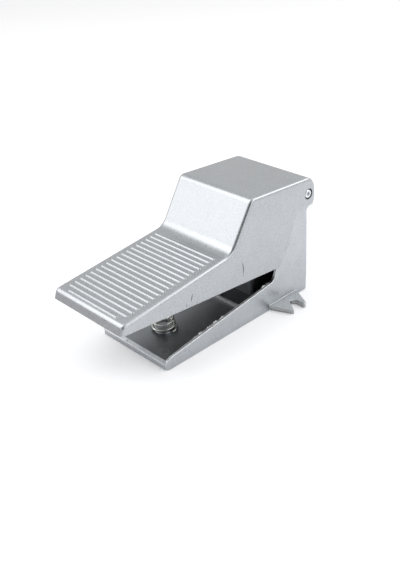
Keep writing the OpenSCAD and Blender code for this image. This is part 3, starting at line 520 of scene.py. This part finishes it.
# Faces of the treadle: 1 inside its shell, on the underside of its plates and the inner side of skirts and
# heel, painted darker as shade; 2 on the front of the toe, painted darker as shade
def treadleZones(spec, centre, normal):
    inwards = -np.sign(centre[:, 0]) * normal[:, 0]
    front = -normal[:, 1]
    under = -normal[:, 2] > spec["down"]
    skirts = (inwards > spec["inwards"]) & (np.abs(centre[:, 0]) > spec["skirtX"])
    heel = (front > spec["inwards"]) & (centre[:, 1] > spec["heelY"])
    # Front of the toe, painted darker as shade
    toe = (front > spec["toeFront"]) & (centre[:, 1] < spec["toeY"])
    return np.select([toe, under | skirts | heel], [2, 1], 0)


# A copy of a CAD node with its loose triangles merged to the micron and its normals kept; zones picks one
# of its metals for each face
def casting(name, spec, zones):
    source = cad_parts[spec["node"]].data
    points = np.empty(len(source.vertices) * 3)
    source.vertices.foreach_get("co", points)
    corners = np.empty(len(source.loops), int)
    source.loops.foreach_get("vertex_index", corners)
    normals = np.empty(len(source.loops) * 3)
    source.corner_normals.foreach_get("vector", normals)
    microns = np.round(points.reshape(-1, 3) / micron).astype(np.int64)
    merged, place = np.unique(microns, axis=0, return_inverse=True)
    faces = place.reshape(-1)[corners].reshape(-1, 3)
    whole = (faces[:, 0] != faces[:, 1]) & (faces[:, 1] != faces[:, 2]) & (faces[:, 2] != faces[:, 0])
    faces = faces[whole]
    piece = meshPiece(name, merged * micron, faces.tolist(), finishes[spec["metals"][0]])
    for metal in spec["metals"][1:]:
        piece.data.materials.append(finishes[metal])
    piece.data.normals_split_custom_set(normals.reshape(-1, 3, 3)[whole].reshape(-1, 3))
    a, b, c = (merged[faces[:, k]] * micron / mm for k in range(3))
    facing = np.cross(b - a, c - a)
    facing = facing / np.maximum(np.linalg.norm(facing, axis=1, keepdims=True), smallest)
    chosen = zones(spec, (a + b + c) / 3, facing)
    piece.data.polygons.foreach_set("material_index", chosen.astype(np.int32))
    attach(piece, spec["body"])
    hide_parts(spec["node"])


casting("base_casting", baseSpec, baseZones)
casting("treadle_casting", treadleSpec, treadleZones)
print("castings: base and treadle")


# Marks that the ejector pins left on the floor of the tray

markSpec = {"places": ((20.3, -69.1), (22.6, -115.1)), "radius": 3.4, "cord": 0.25, "level": 5.5,
            "sunk": 0.1, "around": 64, "sides": 10}


# Round cords sunk in the floor about each place
def ejectorMarks(spec):
    u, v, rise = cordRing(spec)
    level = spec["level"] - spec["sunk"] + rise
    points = np.concatenate([joined(x + u, y + v, level) for x, y in spec["places"]])
    faces = flipped(ringFaces(spec["around"], spec["sides"], True))
    faces = repeated(faces, spec["around"] * spec["sides"], len(spec["places"]))
    # In the floor's raw skin, which is painted darker as shade
    piece = meshPiece("ejector_marks", points, faces, finishes["cast_aluminium_raw_skin_painted_shade"])
    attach(piece, "base")


ejectorMarks(markSpec)
print("ejector marks: %d" % len(markSpec["places"]))


# Thin flash left on the inner edge of the right rail, drawn pale as a painted highlight of that edge:
# where it runs along Y, the rail's own line and draft, how far the flash reaches and how steeply it leans
# inwards, and its ragged edge as waves of [size, rate per millimetre, start] about a mean
flashSpec = {
    "runs": ((-97.0, -87.5), (-84.0, -63.0), (-24.0, -15.6)), "step": 0.2,
    "front": -125.0, "low": 8.8, "rise": 7.1, "inner": 33.7, "draft": 0.04,
    "reach": 1.2, "lean": 60.0, "root": 0.4, "skin": 0.08,
    "mean": 0.25, "waves": ((0.5, 0.83, 0.4), (0.35, 2.9, 0.0), (0.35, 7.1, 1.0)),
}


# A ragged fin of three points a row: sqrt(sin(pi t)) along each run times the sum of the waves, which is
# cut off at none and all of its reach
def railFlash(spec):
    points = []
    faces = []
    before = 0
    lean = math.radians(spec["lean"])
    for start, end in spec["runs"]:
        count = int((end - start) / spec["step"])
        y = np.linspace(start, end, count)
        ragged = spec["mean"]
        for size, rate, begin in spec["waves"]:
            ragged = ragged + size * np.sin(rate * y + begin)
        swell = np.sqrt(np.abs(np.sin(np.linspace(0, math.pi, count))))
        out = spec["reach"] * swell * np.clip(ragged, 0, 1)
        top = spec["low"] + (y - spec["front"]) * math.tan(math.radians(spec["rise"]))
        edge = spec["inner"] - spec["draft"] * top
        x = np.stack([edge + spec["root"], edge - out * math.cos(lean), edge + spec["skin"]], 1)
        z = np.stack([top - spec["skin"], top + out * math.sin(lean), top - spec["root"]], 1)
        points.append(joined(x, y[:, None], z))
        faces += shifted(flipped(liddedFaces(count, x.shape[1])), before)
        before += x.size
    scuffedPaintedLight = finishes["cast_aluminium_scuffed_painted_light"]
    piece = meshPiece("rail_flash", np.concatenate(points), faces, scuffedPaintedLight, False)
    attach(piece, "base")


railFlash(flashSpec)
print("rail flash: %d" % len(flashSpec["runs"]))


# Marks on the treadle's sides

# Scratches: points [y, z] that each runs through and its width in the middle. Rim: a dark strip that
# paints the shade of the seam along the skirt's rear edge; corners of that edge, their radii and how far
# the rim is moved in from it
sideSpec = {
    "x": 37.2, "proud": 0.04, "sunk": 0.015,
    "scratches": (
        (((-49.1, 56.7), (-47.7, 50.8), (-47.9, 43.7)), 1.05),
        (((-98.6, 52.1), (-99.5, 49.3), (-100.5, 46.1)), 1.1),
        (((-104.2, 46.3), (-104.6, 45.2), (-105.1, 43.9)), 0.85),
        (((-94.8, 43.8), (-94.7, 43.2), (-94.6, 42.6)), 0.95),
    ),
    "scratchSteps": 25, "scratchTip": 0.08,
    "rim": ((-8.2, 35.5), (1.4, 46.7), (8.8, 67.0)), "rimRadii": (40,), "rimMove": (-0.4, 0.2),
    "rimWidth": 0.8, "rimSteps": 17, "rimTip": 0.1, "rimTaper": 2,
}


# A curve through three points: (1 - t)(1 - 2t) a + 4t(1 - t) b + t(2t - 1) c
def throughThree(a, b, c, steps):
    a, b, c = (np.array(point) for point in (a, b, c))
    t = np.linspace(0, 1, steps)[:, None]
    return (1 - t) * (1 - 2 * t) * a + 4 * t * (1 - t) * b + t * (2 * t - 1) * c


# A line with round corners: each arc is (p + 2 w t(1 - t) corner + q) over (1 - t)^2 + 2 w t(1 - t) + t^2,
# where p and q are its ends times (1 - t)^2 and t^2 and w is the cosine of half the turn
def roundedPath(corners, radii, steps):
    corners = np.array(corners, float)
    t = np.linspace(0, 1, steps)[:, None]
    runs = [corners[:1]]
    for before, corner, after, radius in zip(corners, corners[1:], corners[2:], radii):
        into = (corner - before) / np.linalg.norm(corner - before)
        away = (after - corner) / np.linalg.norm(after - corner)
        halfTurn = math.acos(into @ away) / 2
        reach = radius * math.tan(halfTurn)
        start = corner - reach * into
        end = corner + reach * away
        middle = 2 * math.cos(halfTurn) * t * (1 - t)
        arc = (1 - t) ** 2 * start + middle * corner + t ** 2 * end
        runs.append(arc / ((1 - t) ** 2 + middle + t ** 2))
    return np.concatenate(runs + [corners[-1:]])


# Slivers on a side of the treadle along runs of [y, z]: width times ends across, ridged in the middle
def slivers(spec, runs, widths, ends, sign):
    deep = spec["x"] + np.array([-spec["sunk"], spec["proud"], -spec["sunk"]])
    points = []
    for run, width in zip(runs, widths):
        along = np.gradient(run, axis=0)
        along = along / np.linalg.norm(along, axis=1, keepdims=True)
        across = width / 2 * ends[:, None] * np.stack([-along[:, 1], along[:, 0]], -1)
        rows = np.stack([run - across, run, run + across], 1)
        points.append(joined(sign * deep[None, :], rows[..., 0], rows[..., 1]))
    faces = repeated(liddedFaces(len(ends), len(deep)), len(ends) * len(deep), len(runs))
    return np.concatenate(points), faces if sign > 0 else flipped(faces)


def sideMarks(spec):
    lines, widths = zip(*spec["scratches"])
    runs = [throughThree(*line, spec["scratchSteps"]) for line in lines]
    lens = np.clip(np.sin(np.linspace(0, math.pi, spec["scratchSteps"])), spec["scratchTip"], 1)
    points, faces = slivers(spec, runs, widths, lens, 1)
    scratches = meshPiece("side_scratches", points, faces, finishes["aluminium_scored"], False)
    # A dark strip just in from the skirt's rear edge: painted shade of the seam with the base
    path = roundedPath(spec["rim"], spec["rimRadii"], spec["rimSteps"]) + np.array(spec["rimMove"])
    order = np.arange(len(path))
    even = np.clip(np.minimum(order, order[::-1]) / spec["rimTaper"], spec["rimTip"], 1)
    right, rightFaces = slivers(spec, [path], [spec["rimWidth"]], even, 1)
    left, leftFaces = slivers(spec, [path], [spec["rimWidth"]], even, -1)
    points = np.concatenate([right, left])
    faces = rightFaces + shifted(leftFaces, len(right))
    rims = meshPiece("skirt_rim_shade", points, faces, finishes["cast_aluminium_dark_painted_shade"], False)
    for piece in (scratches, rims):
        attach(piece, "treadle")


sideMarks(sideSpec)
print("side marks: %d scratches, 2 rims" % len(sideSpec["scratches"]))


# Pivot screws

# Ways along X, radii and the bevels at head, point and mouth of the socket
pivotSpec = {"y": 25.5, "z": 84.3, "tail": 25.0, "lug": 30.5, "head": 34.4, "top": 36.9,
             "thread": 2.0, "shoulder": 2.5, "headRadius": 3.4, "flat": 1.5, "socket": 1.8,
             "bevel": 0.4, "point": 0.4, "mouthWide": 0.3, "mouthDeep": 0.25, "columns": 72, "crease": 30}


# Shoulder screw seen end on: bevelled head with a hexagon socket
def pivotProfile(s):
    return [
        [s["tail"], s["thread"] - s["point"], 0, 0],
        [s["tail"] + s["point"], s["thread"], 0, 0],
        [s["lug"], s["thread"], 0, 0],
        [s["lug"], s["shoulder"], 0, 0],
        [s["head"], s["shoulder"], 0, 0],
        [s["head"], s["headRadius"], 0, 0],
        [s["top"] - s["bevel"], s["headRadius"], 0, 0],
        [s["top"], s["headRadius"] - s["bevel"], 0, 0],
        [s["top"], s["flat"] + s["mouthWide"], 0, 0],
        [s["top"] - s["mouthDeep"], s["flat"], 1, 0],
        [s["top"] - s["socket"], s["flat"], 1, 0],
    ]


def pivotScrews(spec):
    profile = pivotProfile(spec)
    way, u, v = turned(profile, spec["columns"])
    faces = liddedFaces(len(profile), spec["columns"])
    for name, sign in (("right", 1), ("left", -1)):
        points = joined(sign * way, spec["y"] + sign * u, spec["z"] + v)
        piece = meshPiece("shoulder_screw_" + name, points, faces, finishes["zinc_steel_turned"])
        crease(piece, spec["crease"])
        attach(piece, "base")
        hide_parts("pivot_screw_" + name)


# Black rings round the heads, painted shade of the gap there: radius about the pivot's axis, cord of the
# ring and level of its middle
ringSpec = {"radius": 3.9, "cord": 0.47, "level": 36.5, "around": 64, "sides": 12}


# Rubber cords bent to rings about the pivot's axis, one at each end: dark rings that paint the shade in
# the gap round each head
def shadeGapRings(spec, pivot):
    u, v, rise = cordRing(spec)
    level = spec["level"] + rise
    y = pivot["y"] + u
    z = pivot["z"] + v
    points = np.concatenate([joined(level, y, z), joined(-level, y, z)])
    faces = ringFaces(spec["around"], spec["sides"], True)
    faces = flipped(faces) + shifted(faces, spec["around"] * spec["sides"])
    piece = meshPiece("shade_gap_rings", points, faces, finishes["nitrile_rubber_moulded"])
    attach(piece, "base")


pivotScrews(pivotSpec)
shadeGapRings(ringSpec, pivotSpec)
print("pivot screws and dust rings: 2 each")


# Valve screws and their lock washers

# Places [x, z], ways along Y, radii, the bevels at head, foot, point and mouth, and where the knurl begins
# above the seat and ends below the top
valveScrewSpec = {
    "places": ((-22.8, 15.0), (22.8, 15.0), (-22.8, 49.0), (22.8, 49.0)),
    "tail": 21.0, "seat": 30.2, "top": 35.2, "shank": 2.5, "headRadius": 4.25, "flat": 2.0, "socket": 2.75,
    "knurl": 0.16, "knurlLow": 0.6, "knurlHigh": 1.0, "teeth": 36,
    "bevel": 0.45, "foot": 0.25, "point": 0.5, "mouthWide": 0.45, "mouthDeep": 0.3,
    "columns": 216, "crease": 40,
}
washerSpec = {"back": 29.0, "front": 30.2, "inner": 2.65, "outer": 4.5, "thick": 0.95, "split": 9.0,
              "steps": 73, "crease": 40}


# Socket-head cap screw: knurled head, bevelled rims and a hexagon socket
def capProfile(s):
    return [
        [s["tail"], s["shank"] - s["point"], 0, 0],
        [s["tail"] + s["point"], s["shank"], 0, 0],
        [s["seat"], s["shank"], 0, 0],
        [s["seat"], s["headRadius"] - s["foot"], 0, 0],
        [s["seat"] + s["foot"], s["headRadius"], 0, 0],
        [s["seat"] + s["knurlLow"], s["headRadius"], 0, s["knurl"]],
        [s["top"] - s["knurlHigh"], s["headRadius"], 0, s["knurl"]],
        [s["top"] - s["bevel"], s["headRadius"], 0, 0],
        [s["top"], s["headRadius"] - s["bevel"], 0, 0],
        [s["top"], s["flat"] + s["mouthWide"], 0, 0],
        [s["top"] - s["mouthDeep"], s["flat"], 1, 0],
        [s["top"] - s["socket"], s["flat"], 1, 0],
    ]


def capScrews(spec):
    profile = capProfile(spec)
    way, u, v = turned(profile, spec["columns"], spec["teeth"])
    points = np.concatenate([joined(x + v, way, z + u) for x, z in spec["places"]])
    faces = repeated(liddedFaces(len(profile), spec["columns"]), way.size, len(spec["places"]))
    piece = meshPiece("cap_screws", points, faces, finishes["zinc_steel_turned"])
    crease(piece, spec["crease"])
    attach(piece, "base")
    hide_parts("valve_screws")


# Split spring washers: a square section carried once round, rising along the axis from end to end
def splitWashers(spec, places):
    gap = math.radians(spec["split"])
    turn = np.linspace(gap, fullTurn - gap, spec["steps"])[:, None]
    rise = (spec["front"] - spec["back"] - spec["thick"]) * (turn - gap) / (fullTurn - 2 * gap)
    reach = np.array([spec["inner"], spec["outer"], spec["outer"], spec["inner"]])[None, :]
    level = spec["back"] + rise + np.array([0, 0, spec["thick"], spec["thick"]])[None, :]
    u = reach * np.sin(turn)
    v = reach * np.cos(turn)
    points = np.concatenate([joined(x + u, level, z + v) for x, z in places])
    faces = repeated(flipped(liddedFaces(*level.shape)), level.size, len(places))
    piece = meshPiece("split_washers", points, faces, finishes["spring_steel_drawn"])
    crease(piece, spec["crease"])
    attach(piece, "base")
    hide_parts("lock_washers")


capScrews(valveScrewSpec)
splitWashers(washerSpec, valveScrewSpec["places"])
print("valve screws and washers: %d each" % len(valveScrewSpec["places"]))


# Threads in the air ports

# Places [x, z], the thread's sizes, and how far it keeps clear of bore and foot and is sunk in the wall
threadSpec = {
    "places": ((8.5, 21.5), (-8.5, 29.5), (8.5, 37.5), (-8.5, 45.5), (8.5, 53.5)),
    "mouth": 29.6, "depth": 13.0, "bore": 5.9, "height": 0.6, "pitch": 1.337, "bevel": 0.7,
    "clear": 0.02, "footClear": 0.05, "sunk": 0.12, "rows": 120, "columns": 48,
}


# Thread as a lining of the port: its radius falls from the bore by height times a triangle wave of the way
# along in pitches plus the turn, and runs out to the bore at the mouth and at the foot. Its last two rows
# are the back of the lining, inside the wall.
def portThreads(spec):
    foot = spec["depth"] - spec["footClear"]
    way = np.linspace(0, foot, spec["rows"])[:, None]
    angle = anglesRound(spec["columns"])[None, :]
    wave = 1 - np.abs(2 * np.mod(way / spec["pitch"] + angle / fullTurn, 1) - 1)
    fade = np.clip(way / spec["bevel"], 0, 1) * np.clip((foot - way) / spec["bevel"], 0, 1)
    inner = spec["bore"] - spec["clear"] - spec["height"] * wave * fade
    outer = np.full((2, spec["columns"]), spec["bore"] + spec["sunk"])
    reach = np.concatenate([inner, outer])
    level = spec["mouth"] - spec["clear"] - np.concatenate([way, way[-1:], way[:1]])
    u = reach * np.sin(angle)
    v = reach * np.cos(angle)
    points = np.concatenate([joined(x + u, level, z + v) for x, z in spec["places"]])
    faces = repeated(ringFaces(*reach.shape, True), reach.size, len(spec["places"]))
    piece = meshPiece("port_threads", points, faces, finishes["aluminium_milled"])
    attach(piece, "base")


portThreads(threadSpec)
print("port threads: %d" % len(threadSpec["places"]))


# Springs

springSpec = {
    "treadle_spring": {"node": "return_spring", "turns": 9, "wire": 0.9, "low": 9.6, "high": 5.4,
                       "taper": 3.0, "climb": 1.25, "y": -95.0, "steps": 48, "sides": 16},
    "spool_return_spring": {"node": "spool_spring", "turns": 6, "wire": 0.45, "low": 2.6, "high": 2.6,
                            "taper": 1.0, "climb": 1.0, "y": -3.5, "steps": 40, "sides": 12},
}


# Wire carried along a coil: at t from 0 to 1 the angle is 2 pi turns t, the radius eases from low to high
# as (1 - t) ** taper and the height climbs as t ** climb between the node's lowest and highest face. Gives
# the piece and those two heights in metres.
def wireSpring(name, spec):
    lowest, highest = (corner.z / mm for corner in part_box(spec["node"]))
    count = spec["turns"] * spec["steps"] + 1
    t = np.linspace(0, 1, count)[:, None]
    b = anglesRound(spec["sides"])[None, :]
    angle = fullTurn * spec["turns"] * t
    radius = spec["high"] + (spec["low"] - spec["high"]) * (1 - t) ** spec["taper"]
    level = lowest + spec["wire"] + (highest - lowest - 2 * spec["wire"]) * t ** spec["climb"]
    out = radius + spec["wire"] * np.cos(b)
    y = spec["y"] + out * np.sin(angle)
    points = joined(out * np.cos(angle), y, level + spec["wire"] * np.sin(b))
    faces = flipped(liddedFaces(count, spec["sides"]))
    piece = meshPiece(name, points, faces, finishes["spring_steel_drawn"])
    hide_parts(spec["node"])
    return piece, lowest * mm, highest * mm


treadleSpring, springFoot, springHead = wireSpring("treadle_spring", springSpec["treadle_spring"])
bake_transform(treadleSpring)
spoolSpring, plugTop = wireSpring("spool_return_spring", springSpec["spool_return_spring"])[:2]
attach(spoolSpring, "base")
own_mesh(spoolSpring)
print("springs: 2")
